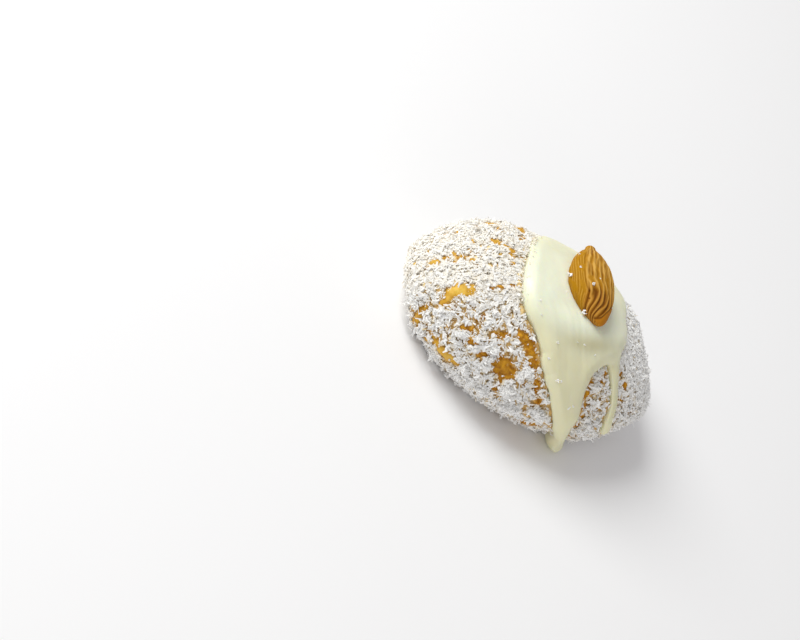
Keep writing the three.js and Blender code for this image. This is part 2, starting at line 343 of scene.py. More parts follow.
# The almond kernel, as in the frame: pointed tip, blunt end, heading in degrees from +X to the tip.
almond = {
    "length": 25.0,
    "width": 13.1,
    "thickness": 8.4,
    "bluntPower": 0.765,
    "tipPower": 0.67,
    "bluntRound": 0.045,
    "tipRound": 0.012,
    "fullness": 2.764,
    "nib": (0.045, 0.23),  # reach and width of the little ball at the tip, as shares
    "flatness": 0.85,
    "skew": (2.2, 0.23),  # sideways shift of the blunt end and, the other way, of the tip
    "centre": (2.5, 0.73, 33.1),
    "heading": 97.5,
    "around": 330,
    "along": 290,
    "ridgeMiddle": 58,  # degrees round the kernel from which ridges are counted
    "ridgeArc": 5.3,  # width of skin for each radian at the widest place
    "ridgeSpacing": 1.35,
    "ridgeStart": -0.2,
    "ridgeBend": (7.1, 0.34),  # how far ridges turn aside at the blunt end, and from what share
    "tipFan": (0.4, 0.4, 0.3),  # how much less ridges close up at the tip, from what share, over what
    "ridgeStray": (0.15, 0.08, 0.5),  # in spacings: slowly, quickly, and all of them down the kernel
    "strayDown": (0.2, 0.4),  # from what share of the length, and over what share
    "ridgeDepth": 0.42,
    # shares of the depth: everywhere, on the ridged side, and twice more at the blunt end
    "grooveShares": (0.10, 0.31, 0.56, 0.35),
    "grooveLimits": (1.6, 0.95, 0.9, 0.95),  # sharpness, and the most for grooves, seam and pits
    "grooveFade": 0.25,  # width share under which grooves grow shallow
    "patchy": (0.8, 0.2, 1.5),  # how deep they are: mean, how far it strays, how steeply
    "bluntEnd": (0.42, -0.2),  # share where the blunt end begins, and the span back to its full
    "fineRidges": (0.78, 0.3, 0.40),  # spacing, how far they stray, and depth as a share
    "pits": [(0.126, 354, 0.016, 12), (0.198, 43, 0.012, 8)],  # share, degrees round, reach, width
    "ridgedFrom": (-1.5, 1.5),  # where the ridged side begins, and the width of its border
    "ridgedTo": (3.05, -0.7),  # radians from the ridges' middle where they end, and over what
    "seam": (0.036, 0.23, 165, 45),  # share of length, rise, and the degrees it rises about
    "seamShown": (100, -0.1, 0.4),  # the side it shows on: degrees, and the cosine from and over
    "seamReach": (0.010, 0.012),  # of the seam, and of the lobe's edge, as shares
    "changes": (0.02, 0.008),  # how far the lobe is drawn in, and how uneven the kernel is
    "noises": {"slow": (4.5, 31), "quick": (1.6, 32), "fine": (3.4, 36), "shown": (1.7, 37),
               "depth": (2.6, 33), "shape": (1.2, 34)},  # wavelength and seed
    "drawnOut": (0.22, 0.5, 0.3),  # noise along the kernel as a share of across: slow, quick, shape
    "goldenColour": (0.43, 0.20, 0.005, 1),
    "lightColour": (0.55, 0.265, 0.018, 1),
    "darkColour": (0.41, 0.175, 0.006, 1),
    # the crest colour is a painted highlight along the tops of the ridges
    "crestColour": (0.72, 0.42, 0.10, 1),
    "endColour": (0.44, 0.175, 0.010, 1),
    "lobeColour": (0.50, 0.19, 0.012, 1),
    # the groove colour is painted shade in the grooves
    "grooveColour": (0.15, 0.045, 0.003, 1),
    "cloud": (420.0, 1.8),
    "shader": {"IOR": 1.45, "Specular IOR Level": 0.08},
    "finish": (1500.0, 5200.0, 0.5, 0.42, 0.7, 0.35, 0.00015),
}


# Width share: fullness x s^blunt (1 - s)^tip, with the root of s^2 + round x s for s at each end,
# and a round nib joined on at the tip by the cube root of the sum of cubes.
def kernelWidth(share):
    reach, width = almond["nib"]
    left = 1 - share
    toTip = np.maximum(left - reach, 0)
    fromBlunt = np.sqrt(share ** 2 + almond["bluntRound"] * share) ** almond["bluntPower"]
    fromTip = np.sqrt(toTip ** 2 + almond["tipRound"] * toTip) ** almond["tipPower"]
    ball = width * np.sqrt(np.maximum(1 - (left / reach - 1) ** 2, 0))
    return np.cbrt((almond["fullness"] * fromBlunt * fromTip) ** 3 + ball ** 3)


# Sideways shift of the middle line: skew x (1 - 2 share)^2 from the middle to each end.
def kernelSkew(share):
    fromMiddle = 1 - 2 * share
    blunt, tip = almond["skew"]
    return tip * np.clip(-fromMiddle, 0, 1) ** 2 - blunt * np.clip(fromMiddle, 0, 1) ** 2


# The kernel's oval section at a share of the length, drawn in to the share cut of its size.
def kernelSurface(share, turn, cut=1.0):
    width = kernelWidth(share)
    return pointsOf(
        (share - 0.5) * almond["length"],
        almond["width"] / 2 * width * np.cos(turn) * cut + kernelSkew(share),
        almond["thickness"] / 2 * width ** almond["flatness"] * np.sin(turn) * cut)


def turnedAbout(points, degrees):  # turned about the vertical
    x, y, z = np.moveaxis(points, -1, 0)
    return pointsOf(*turnedAxes(x, y, -degrees), z)


def turnedAlmond(points):  # along its own X -> lying on the cap
    return turnedAbout(points, almond["heading"]) + np.array(almond["centre"])


# How far a point lies outside the kernel's oval section at the same height and share of length.
def almondClearance(points):
    own = turnedAbout(points - np.array(almond["centre"]), -almond["heading"])
    along, across, rise = np.moveaxis(own, -1, 0)
    share = np.clip(along / almond["length"] + 0.5, 0.001, 0.999)
    width = kernelWidth(share)
    halfThick = np.maximum(almond["thickness"] / 2 * width ** almond["flatness"], 0.01)
    level = np.clip(np.abs(rise) / halfThick, 0, 1)
    halfWide = almond["width"] / 2 * width * np.sqrt(1 - level ** 2)
    past = np.maximum(np.abs(along) - almond["length"] / 2, 0)
    drop = np.maximum(np.abs(rise) - halfThick, 0)
    beside = np.maximum(np.abs(across - kernelSkew(share)) - halfWide, 0)
    return np.sqrt(beside ** 2 + past ** 2 + drop ** 2)


# The mottled skin with its own golden, blunt-end and lobe colours, a painted highlight on the ridge crests
# and painted shade in the grooves.
def almondColour(tree, place):
    colour = mottled(tree, place, almond["cloud"], almond["lightColour"], almond["darkColour"])
    for label in ("golden", "end", "crest", "lobe", "groove"):
        colour = blendColours(tree, label, colour, almond[label + "Colour"])
    return colour


# Place across the ridges: arc x width x (turn - middle), moved by bend x (1 - share / reach)^2
# towards the blunt end; and the angle from the middle.
def acrossRidges(share, turn):
    angle = turnFrom(turn, almond["ridgeMiddle"])
    bend, reach = almond["ridgeBend"]
    fan, start, span = almond["tipFan"]
    narrow = kernelWidth(share) ** (1 - fan * ramp(share, start, span))
    return almond["ridgeArc"] * narrow * angle + bend * np.maximum(1 - share / reach, 0) ** 2, angle


# Kernel: oval sections drawn in by grooves (0.5 + 0.5 cos(2 pi ((across - start) / spacing + stray)))
# ^sharpness, deepest at the blunt end, by finer grooves of the same kind, a seam and pits.
def makeAlmond():
    around, along, noises = almond["around"], almond["along"], almond["noises"]
    turn = np.linspace(0, 2 * math.pi, around, endpoint=False)[None, :]
    share = (0.5 - 0.5 * np.cos(math.pi * np.arange(1, along) / along))[:, None]
    across, angle = acrossRidges(share, turn)
    down = share * almond["length"]
    skin, speckled = (pointsOf(across, drawn * down, 0) for drawn in almond["drawnOut"][:2])
    slow, quick, aside = almond["ridgeStray"]
    stray = slow * waveNoise(skin, *noises["slow"]) + quick * waveNoise(speckled, *noises["quick"])
    stray = stray + aside * ramp(share, *almond["strayDown"])
    count = (across - almond["ridgeStart"]) / almond["ridgeSpacing"] + stray
    wave = 0.5 + 0.5 * np.cos(2 * math.pi * count)
    ridged = ramp(across, *almond["ridgedFrom"]) * ramp(np.abs(angle), *almond["ridgedTo"])
    fineSpacing, fineStray, fineDepth = almond["fineRidges"]
    fine = across / fineSpacing + fineStray * waveNoise(skin, *noises["fine"])
    fine = 0.5 + 0.5 * np.cos(2 * math.pi * fine)
    shownFine = ramp(waveNoise(speckled, *noises["shown"]), -0.8, 1) * (0.6 + 0.4 * ridged)
    blunt = ramp(share, *almond["bluntEnd"])
    mean, change, steep = almond["patchy"]
    patchy = mean + change * np.tanh(steep * waveNoise(speckled, *noises["depth"]))
    low, rise, about, spread = almond["seam"]
    seamShare = low + rise * bell(np.degrees(turnFrom(turn, about)) / spread)
    facing, start, span = almond["seamShown"]
    shown = ramp(np.cos(turn - math.radians(facing)), start, span)
    seamReach, lobeReach = almond["seamReach"]
    seam = bell((share - seamShare) / seamReach) * shown
    lobe = ramp(share, seamShare, -lobeReach) * shown
    least, onRidged, deeper, deepest = almond["grooveShares"]
    sharpness, deepestShare, seamDepth, pitDepth = almond["grooveLimits"]
    strength = (least + ridged * (onRidged + deeper * blunt)) * (patchy + deepest * blunt)
    groove = wave ** sharpness * np.minimum(strength, deepestShare) + fineDepth * fine ** 2 * shownFine
    groove = groove * ramp(kernelWidth(share), 0, almond["grooveFade"]) * (1 - lobe)
    pits = sum(bell((share - place) / reach, turnFrom(turn, degrees) / (reach * wide))
               for place, degrees, reach, wide in almond["pits"])
    groove = np.maximum(np.maximum(groove, seamDepth * seam), pitDepth * pits)
    ring = pointsOf(np.cos(turn), np.sin(turn), almond["drawnOut"][2] * down)
    drawnIn, uneven = almond["changes"]
    cut = 1 - groove * almond["ridgeDepth"] / (almond["thickness"] / 2) - drawnIn * lobe
    points = kernelSurface(share, turn, cut + uneven * waveNoise(ring, *noises["shape"]))
    half = 0.5 * almond["length"]
    ends = np.array([[half, kernelSkew(1.0), 0], [-half, kernelSkew(0.0), 0]])
    # painted highlight along the ridge tops, and on the fine ridges where they show
    crest = (1 - wave) ** 3 * ridged * (0.9 - 0.5 * blunt) * np.clip(1.6 * patchy, 0.3, 1)
    crest = np.maximum(crest, 0.6 * (1 - fine) ** 3 * shownFine)
    # the groove depth also masks the painted shade in the grooves
    masks = {"golden": 1 - ridged, "crest": crest, "end": blunt * ridged, "lobe": lobe, "groove": groove}
    # the rows are turned to run from the tip to the blunt end, so that the faces point outwards
    return makeRound("almondKernel", turnedAlmond(points[::-1]), turnedAlmond(ends),
                     {label: mask[::-1] for label, mask in masks.items()},
                     newMaterial("almondSkin", almond, almondColour))


almondKernel = makeAlmond()
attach(almondKernel, "root")
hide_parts("almond")
print("almond made")

# White chocolate, as in the frame: chains of chart place and radius that flow together.
chocolate = {
    "cap": [(0.2, -3, 15.5), (1.3, 8.8, 14.9)],
    "leftLobe": [(-4.8, -8, 9.7), (-2.6, 0.3, 10.7), (-3.9, 6.6, 9.6)],
    "rightLobe": [(6.8, -5.8, 11.3), (7.4, -4.8, 11)],
    "mainDrip": [(3, -14, 11.6), (2.6, -18.5, 9.3), (3.6, -24, 7.4), (5.4, -28.2, 5.9),
                 (9.3, -34.6, 3.9), (13.8, -40, 3), (17, -44.6, 2), (24.5, -51, 1.1),
                 (33.5, -56, 2.2)],
    "backDrip": [(6, 22, 5), (9, 32, 3.2), (11, 40, 2.6)],
    "thinDrip": [(15.5, -14, 1.6), (17.5, -17, 1.3), (20, -20.6, 0.7), (24.3, -25.5, 0.6),
                 (28, -30.4, 0.8), (32.4, -33.6, 0.9)],
    "softness": {"leftLobe": 2, "rightLobe": 2, "mainDrip": 3, "backDrip": 4},
    "thinSoftness": 1.8,
    "thickness": 2.1,
    "backThickness": 0.6,
    "thinThickness": 1.2,
    "rounding": 2.6,
    "bead": (0.14, 2.6, 1.5),  # height of the thicker rim, how far in it lies, and its reach
    "hangFill": 0.9,
    "poolFill": 0.5,
    "step": 0.26,
    "grid": ((-22, 38), (-66, 48)),
    "edgeStep": 0.2,  # rows of points follow the edge at this spacing
    "grow": 0.25,  # the edge stands this far outside the frame's line
    "lip": (0.5, 0.16),  # how far the edge bulges over its foot, and at what share of the rounding
    "dive": 7.0,  # slope of the face that goes down into the coat
    "rootDepth": 1.7,  # depth of the lower face under the coat's outer face
    "lowest": (0.25, 0.5),  # how low the upper and the lower face may reach
    "mound": (0.20, 1.6),  # height and reach of the rise against the almond
    "ripples": [(0.07, 11.0, 21), (0.02, 4.0, 22)],
    "swell": (5.5, -14.8, 1.45, 9, 3.7),  # chart place, height, reach along u and along v
    "evenLayer": 0.3,
    "drained": (-8, 20),  # it grows thinner towards the back, from what v and over what span
    "beadFrom": (4, -14),  # the rim grows thicker from what v and over what span
    "streaksFrom": (-6, -9),  # and streaks appear from what v and over what span
    "thickEnds": (2, 1.5, 1, -3),  # how far outside the thick part its height, bead, ripples end; span
    "streaks": (0.025, 2.4, 0.6, 0.12, 23),  # height, wavelength, slant, stretch down the flow, seed
    "crownLightColour": (0.865, 0.89, 0.715, 1),  # painted light on the crown: a lighter, cooler colour
    "lowerShadeColour": (0.82, 0.775, 0.50, 1),  # painted shade lower down: a darker, yellower colour
    "browShadeColour": (0.66, 0.62, 0.385, 1),  # painted shade along the brow of the pool, where the surface turns down
    "lowerShadeFrom": (0.8, 31.5, -6),  # share, and from what height, over what span
    "browShade": (0.9, -2.5, -20.6, 0.026, 2.4, 6, 8.5),  # share, start, bend, reach across, middle, along
    "cloudTint": (0.93, 0.93, 0.91, 1),
    "cloud": (95.0, 1.5),
    "shader": {"IOR": 1.46, "Subsurface Weight": 0.35, "Subsurface Radius": (0.0030, 0.0024, 0.0012),
               "Subsurface Scale": 1.0},
    "finish": (240.0, 1900.0, 0.12, 0.28, 0.46, 0.12, 0.0004),
}


# Distance to a chain of balls whose radius changes evenly between places, less that radius.
def chainDistance(points, chain):
    centres = [cookieSurface(np.array(float(u)), np.array(float(v))) for u, v, _ in chain]
    nearest = np.full(points.shape[:-1], np.inf)
    for i in range(len(chain) - 1):
        span = centres[i + 1] - centres[i]
        share = np.clip((points - centres[i]) @ span / (span @ span), 0, 1)
        radius = chain[i][2] + (chain[i + 1][2] - chain[i][2]) * share
        away = points - centres[i] - share[..., None] * span
        nearest = np.minimum(nearest, np.linalg.norm(away, axis=-1) - radius)
    return nearest


# The lesser of two distances, rounded where they are alike.
def flowTogether(a, b, softness):
    share = np.clip(0.5 + 0.5 * (b - a) / softness, 0, 1)
    return b + (a - b) * share - softness * share * (1 - share)


# Distance outside the chocolate's edge, and outside all of it but the thin drip.
def outsideChocolate(u, v):
    return outsideAt(cookieSurface(u, v))


def outsideAt(points):
    thick = chainDistance(points, chocolate["cap"])
    for label, softness in chocolate["softness"].items():
        thick = flowTogether(thick, chainDistance(points, chocolate[label]), softness)
    thin = chainDistance(points, chocolate["thinDrip"])
    return flowTogether(thick, thin, chocolate["thinSoftness"]) - chocolate["grow"], thick


# Height over the coat: a quarter-round edge up to the full thickness, plus what fills the pressed
# hollow and hangs below the waist, a bead, a swell and ripples; outside the edge it dives.
def chocolateHeight(u, v, outside, thick, points):
    share = np.clip(-outside / chocolate["rounding"], 0, 1)
    roundUp = np.sqrt(1 - (1 - share) ** 2)
    start, span = chocolate["drained"]
    drained = np.clip((v - start) / span, 0, 1) * (chocolate["thickness"] - chocolate["backThickness"])
    *ends, span = chocolate["thickEnds"]
    main, beaded, rippled = (ramp(thick, end, span) for end in ends)
    extra = (chocolate["thickness"] - drained - chocolate["thinThickness"]) * main
    belowWaist = np.maximum(np.hypot(u, v) / dome["waistOnChart"] - 1, 0) * (math.pi / 2)
    tuck = dome["halfWidth"] * (1 - np.cos(belowWaist)) * chocolate["hangFill"]
    full = chocolate["thinThickness"] + extra + tuck + pressDepth(u, v) * chocolate["poolFill"]
    rise, inset, reach = chocolate["bead"]
    rise = rise * ramp(v, *chocolate["beadFrom"]) * beaded
    full = full + chocolate["evenLayer"] + rise * bell((outside + inset) / reach)
    swellU, swellV, rise, alongU, alongV = chocolate["swell"]
    full = full + rise * bell((u - swellU) / alongU, (v - swellV) / alongV)
    ripple = layeredNoise(points, chocolate["ripples"])
    streak, wavelength, slant, stretch, seed = chocolate["streaks"]
    drawn = pointsOf(u + slant * v, v * stretch, 0)
    ripple = ripple + streak * ramp(v, *chocolate["streaksFrom"]) * waveNoise(drawn, wavelength, seed)
    height = (full + ripple * rippled) * roundUp
    return height - np.maximum(outside, 0) * chocolate["dive"]


# Sideways reach of the lip: share of the rounding s x exp(1 - s / crest) / crest, away from the
# middle of the chocolate along the coat.
def lipReach(u, v, outside):
    step = 0.05
    most, crest = chocolate["lip"]
    points = cookieSurface(u, v)
    alongU = (cookieSurface(u + step, v) - points) / step
    alongV = (cookieSurface(u, v + step) - points) / step
    slopeU = (outsideChocolate(u + step, v)[0] - outside) / step
    slopeV = (outsideChocolate(u, v + step)[0] - outside) / step
    uu, uv, vv = ((a * b).sum(-1) for a, b in ((alongU, alongU), (alongU, alongV), (alongV, alongV)))
    size = np.maximum(uu * vv - uv * uv, 1e-6)
    away = alongU * ((slopeU * vv - slopeV * uv) / size)[..., None]
    away = unit(away + alongV * ((slopeV * uu - slopeU * uv) / size)[..., None])
    share = np.clip(-outside / chocolate["rounding"], 0, 1)
    return away * (most * share * np.exp(1 - share / crest) / crest)[..., None]


def layDirection(u, v):  # outward, but level below the waist, where a drip hangs straight down
    direction = outwardOf(cookieSurface, u, v)
    direction[..., 2] = np.maximum(direction[..., 2], 0)
    return unit(direction)


# Moves grid places near the edge so that rows of them lie along it, by one step down the slope
# of the distance: place + (wanted - distance) x slope / slope^2.
def alignToEdge(u, v):
    outside, _ = outsideChocolate(u, v)
    slopeU, slopeV = np.gradient(outside, chocolate["step"])
    steep = np.maximum(slopeU ** 2 + slopeV ** 2, 0.05)
    wanted = np.round(outside / chocolate["edgeStep"]) * chocolate["edgeStep"]
    change = np.where(np.abs(outside) < 1.6 * chocolate["edgeStep"], wanted - outside, 0)
    return u + change * slopeU / steep, v + change * slopeV / steep


# The crown gets a lighter, cooler colour as painted light, and lower down a darker, yellower one as painted
# shade.
def chocolateColour(tree, place):
    colour = blendColours(tree, "lowerShade", chocolate["crownLightColour"], chocolate["lowerShadeColour"])
    # a darker band along the brow of the pool is painted shade
    colour = blendColours(tree, "browShade", colour, chocolate["browShadeColour"])
    tint = mottled(tree, place, chocolate["cloud"], (1, 1, 1, 1), chocolate["cloudTint"])
    return blendColours(tree, 1.0, colour, tint, "MULTIPLY")


# Cap and drips: coat surface + height x lay direction on a chart grid, closed by a lower face
# inside the cookie and a wall round the border.
def makeChocolate():
    rows = (np.arange(*ends, chocolate["step"]) for ends in chocolate["grid"])
    u, v = np.meshgrid(*rows, indexing="ij")
    for _ in range(2):
        u, v = alignToEdge(u, v)
    outside, thick = outsideChocolate(u, v)
    coat = cookieSurface(u, v)
    direction = layDirection(u, v)
    height = chocolateHeight(u, v, outside, thick, coat)
    flat = coat + direction * height[..., None]
    rise, reach = chocolate["mound"]
    mound = rise * bell(almondClearance(flat) / reach) * ramp(outside, 0, -2)
    upper = coat + direction * (height + mound)[..., None] + lipReach(u, v, outside)
    lower = coat - direction * chocolate["rootDepth"]
    for face, lowest in zip((upper, lower), chocolate["lowest"]):
        face[..., 2] = np.maximum(face[..., 2], lowest)
    kept = (outside < 1.2 * chocolate["edgeStep"]) & (np.hypot(u, v) < rimOnChart)
    cell = kept[:-1, :-1] & kept[1:, :-1] & kept[1:, 1:] & kept[:-1, 1:]
    index = np.arange(u.size).reshape(u.shape)
    quads = np.stack([index[:-1, :-1], index[1:, :-1], index[1:, 1:], index[:-1, 1:]], axis=-1)[cell]
    sides = np.concatenate([quads[:, [k, (k + 1) % 4]] for k in range(4)])
    code = sides[:, 0] * u.size + sides[:, 1]
    back = sides[:, 1] * u.size + sides[:, 0]
    border = sides[~np.isin(code, back)]
    walls = np.stack([border[:, 0], border[:, 0] + u.size, border[:, 1] + u.size, border[:, 1]], axis=-1)
    faces = np.concatenate([quads, quads[:, ::-1] + u.size, walls])
    used, renumbered = np.unique(faces, return_inverse=True)
    points = np.concatenate([upper.reshape(-1, 3), lower.reshape(-1, 3)])[used]
    # painted shade: darker and yellower below the crown
    lowerShade, start, span = chocolate["lowerShadeFrom"]
    # painted shade in a band along the brow of the pool
    browShade, startU, startV, bend, across, middle, along = chocolate["browShade"]
    aside = v - startV - bend * (u - startU) ** 2
    masks = {"lowerShade": lowerShade * ramp(upper[..., 2], start, span),
             "browShade": browShade * bell(aside / across, (u - middle) / along)}
    values = {label: np.tile(mask.ravel(), 2)[used] for label, mask in masks.items()}
    return makePiece("chocolateCap", points, [renumbered.reshape(-1, 4)],
                     newMaterial("whiteChocolate", chocolate, chocolateColour), values=values)


chocolateCap = makeChocolate()
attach(chocolateCap, "root")
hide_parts("white_chocolate")
print("chocolate made")

# The dough under the coconut.
dough = {
    "around": 430,
    "sideRows": 190,
    "baseRows": 26,
    "coatDepth": 0.9,  # the dough's face lies this far under the coat's mean outer face
    "bareDepth": 0.35,  # and this far where the dough shows
    "edgeDepth": (0.5, 1.0, 2.5),  # and this far beside the chocolate, out to these distances
    "baseHeight": 0.4,
    "reliefs": [(0.16, 4.2, 11), (0.13, 1.8, 12), (0.06, 0.9, 13)],
    "evened": 0.75,  # how much less relief there is where the dough is smooth
    "ragged": [(0.35, 3.4, 14), (0.2, 1.3, 15)],  # outlines of the bare places
    "openFrom": (-9, -17),  # the coat lies openly from what v, over what span
    "lessOpen": (0.4, 28, 12),  # how much less it does on the right, from what u, over what span
    "lightColour": (0.64, 0.30, 0.014, 1),
    "darkColour": (0.28, 0.09, 0.003, 1),
    "smoothLight": (0.87, 0.59, 0.13, 1),
    "smoothDark": (0.64, 0.34, 0.02, 1),
    "dustColour": (0.93, 0.74, 0.38, 1),  # where fine coconut sticks to it
    "dustEnds": (0.15, 0.4),  # from how bare a place there is less of it, and over what span
    "dustShare": (0.9, 0.5),  # how much there is, and how much less where the coat lies openly
    "roughCloud": (950.0, 3.0),
    "smoothCloud": (520.0, 2.2),
    "shader": {"IOR": 1.45, "Specular IOR Level": 0.14, "Subsurface Weight": 0.12,
               "Subsurface Radius": (0.0012, 0.0006, 0.0003), "Subsurface Scale": 1.0},
    "finish": (900.0, 3200.0, 0.4, 0.3, 0.62, 0.5, 0.0003),
}

# Places where the dough shows: chart place, reach along and across, the way it runs in degrees,
# how bare it is, and how smooth.
barePlaces = [
    (-29.3, -17, 5.4, 3, 37, 1, 1), (-32.5, -21.5, 2.6, 1.3, 40, 0.8, 0.5),
    (-29, -3, 2.8, 1.3, 30, 0.85, 0.5), (-22, 20.6, 3.2, 2, 30, 0.95, 0.6),
    (-32.5, -5.5, 1.8, 0.7, 10, 0.85, 0.2), (-15.5, -9.3, 1.1, 0.9, 0, 0.95, 0.2),
    (-20.8, -12.5, 1, 0.7, 0, 0.85, 0.1), (-18.6, -11.4, 0.9, 0.7, 0, 0.85, 0.1),
    (-24, -29, 3.2, 1.1, 20, 0.75, 0.1), (-21.5, -33, 2.2, 1.1, 0, 0.75, 0.1),
    (-9.5, -46.8, 2.6, 1.3, 20, 0.85, 0.1), (-40.5, -25.5, 3.4, 1.6, 40, 0.8, 0.4),
    (-31.5, -1, 1.4, 0.8, 100, 0.85, 0.5), (-26.5, -3.5, 1.2, 0.7, 0, 0.8, 0.5),
    (-27.5, 0.7, 1.4, 0.8, 60, 0.85, 0.5), (-24, -1.5, 1, 0.8, 0, 0.75, 0.5),
    (-25, -5.5, 1, 0.7, 30, 0.7, 0.4), (-34, -3.5, 1.5, 0.8, 20, 0.8, 0.4),
    (-45, -30, 5, 2.7, 60, 1, 0.5), (-49, -30, 4.5, 1.6, 95, 0.9, 0.4),
    (-43, -40, 4.5, 1.5, 150, 0.9, 0.5), (-37.7, -6, 1.9, 1.3, 25, 1, 0.8),
    (-30.5, -42.3, 6.4, 3, 160, 1, 0.8), (-35.5, -38, 4.6, 2, 130, 0.9, 0.5),
    (-9.5, -38, 5, 3.2, 0, 1, 0.1), (-9, -42, 1.8, 2.6, 0, 0.9, 0.1), (-12, -35, 2.6, 1.6, 20, 0.9, 0.1),
    (-9.5, -24.5, 3.4, 1.7, 130, 0.9, 0.1), (-6, -28, 4.6, 1.5, 125, 0.95, 0.1),
    (-3.4, -31.5, 3.4, 1.2, 115, 0.9, 0.1), (0.5, -37.5, 3.6, 1.1, 115, 0.8, 0),
    (4, -42, 2.2, 1.2, 120, 0.8, 0), (-16.5, -35.5, 2.6, 1.2, 20, 0.7, 0.1),
    (-21, -23.5, 2.4, 1.2, 60, 0.7, 0.1), (-15, -27, 2.4, 1.4, 20, 0.75, 0.1),
    (11, -58, 6, 3.4, 40, 0.85, 0.1), (0.5, -60, 3, 1.6, 0, 0.8, 0.1),
    (29.5, -47.5, 2.4, 1.2, 20, 0.85, 0), (13.5, -26.5, 1.9, 1.2, 60, 0.9, 0),
    (14.5, -30, 1.6, 1.1, 110, 0.85, 0), (17, -33.5, 2.2, 1, 60, 0.85, 0),
    (20, -37, 1.6, 1.1, 110, 0.85, 0), (22.5, -41, 1.2, 1, 0, 0.8, 0), (16, -21.5, 2, 1, 110, 0.8, 0),
    (21, -16, 2, 1.2, 60, 0.75, 0), (25, -17, 2.4, 1, 110, 0.75, 0), (26.5, -22, 2.2, 1, 60, 0.8, 0),
    (28.5, -27.5, 1.6, 1.1, 20, 0.7, 0), (35, -21, 2, 1.1, 60, 0.7, 0),
    (-17.6, 24.2, 4, 2.4, 30, 0.95, 0.6), (-14.5, 20.5, 1.6, 3.6, 10, 0.9, 0.4),
    (-14.5, 13, 1.2, 2.8, 0, 0.8, 0.4), (-16.5, 4, 1.8, 1.2, 80, 0.75, 0.4),
    (-18.5, 5.5, 1.2, 1, 0, 0.7, 0.4), (-13.6, 3.8, 1.3, 1, 90, 0.8, 0.4),
    (-38.5, -39, 3.2, 1.5, 140, 0.9, 0.4),
]

specks = {"count": 44, "u": (-54, -13), "v": (-9, 27), "reach": (0.8, 1.7), "slim": (0.4, 0.8),
          "strength": (0.6, 0.95), "smoothness": (0.5, 1), "seed": 62}


# Small bare specks strewn over the bright side, given like the places above.
def strewnSpecks():
    rng = np.random.default_rng(specks["seed"])
    count = specks["count"]
    reach = rng.uniform(*specks["reach"], count)
    return list(zip(rng.uniform(*specks["u"], count), rng.uniform(*specks["v"], count), reach,
                    reach * rng.uniform(*specks["slim"], count), rng.uniform(0, 180, count),
                    rng.uniform(*specks["strength"], count), rng.uniform(*specks["smoothness"], count)))


barePlaces = barePlaces + strewnSpecks()


# Share of bare dough and of smooth dough at a chart place: the strongest of the flat-topped
# patches exp(-q^2), q the squared distance in reaches.
def bareAt(u, v):
    bare, smooth = np.zeros((2, *np.shape(u)))
    ragged = np.exp(layeredNoise(pointsOf(u, v, 0), dough["ragged"]))
    for placeU, placeV, along, across, degrees, strength, smoothness in barePlaces:
        a, b = turnedAxes(u - placeU, v - placeV, degrees)
        patch = bell(((a / along) ** 2 + (b / across) ** 2) * ragged)
        bare = np.maximum(bare, patch * strength)
        smooth = np.maximum(smooth, patch * smoothness)
    return bare, smooth


# How openly the coat lies: 0 on the crown and the back, 1 low on the front, less on the right.
def opennessAt(u, v):
    less, start, span = dough["lessOpen"]
    return ramp(v, *dough["openFrom"]) * (1 - less * ramp(u, start, span))


def doughColour(tree, place):
    rough = mottled(tree, place, dough["roughCloud"], dough["lightColour"], dough["darkColour"])
    even = mottled(tree, place, dough["smoothCloud"], dough["smoothLight"], dough["smoothDark"])
    return blendColours(tree, "dusted", blendColours(tree, "smooth", rough, even), dough["dustColour"])


# Dough face: cookie surface - depth x outward direction + noise relief, then a flat base.
def makeDough():
    around, sideRows, baseRows = dough["around"], dough["sideRows"], dough["baseRows"]
    turn = np.linspace(0, 2 * math.pi, around, endpoint=False)[None, :]
    level = (np.arange(1, sideRows + 1) / sideRows * rimOnChart)[:, None]
    u, v = level * np.cos(turn), level * np.sin(turn)
    points = cookieSurface(u, v)
    outward = outwardOf(cookieSurface, u, v)
    bare, smooth = bareAt(u, v)
    relief = layeredNoise(points, dough["reliefs"])
    depth = dough["coatDepth"] + (dough["bareDepth"] - dough["coatDepth"]) * bare
    outside, _ = outsideChocolate(u, v)
    shallow, near, far = dough["edgeDepth"]
    beside = ramp(outside, far, near - far) * (outside > 0)
    depth = np.minimum(depth, dough["coatDepth"] + (shallow - dough["coatDepth"]) * beside)
    most, less = dough["dustShare"]
    dusted = (1 - ramp(bare, *dough["dustEnds"])) * (most - less * opennessAt(u, v))
    points = points + outward * (relief * (1 - dough["evened"] * smooth) - depth)[..., None]
    points[..., 2] = np.maximum(points[..., 2], dough["baseHeight"])
    shrink = (1 - np.arange(1, baseRows + 1) / (baseRows + 1))[:, None, None]
    base = points[-1][None] * shrink
    base[..., 2] = dough["baseHeight"]
    poles = [points[0].mean(0), (0, 0, dough["baseHeight"])]
    masks = {label: np.concatenate([mask, np.zeros((baseRows, around))])
             for label, mask in (("smooth", smooth), ("dusted", dusted))}
    return makeRound("doughDome", np.concatenate([points, base]), poles, masks,
                     newMaterial("goldenDough", dough, doughColour))


doughDome = makeDough()
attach(doughDome, "root")
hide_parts("cookie")
print("dough made")

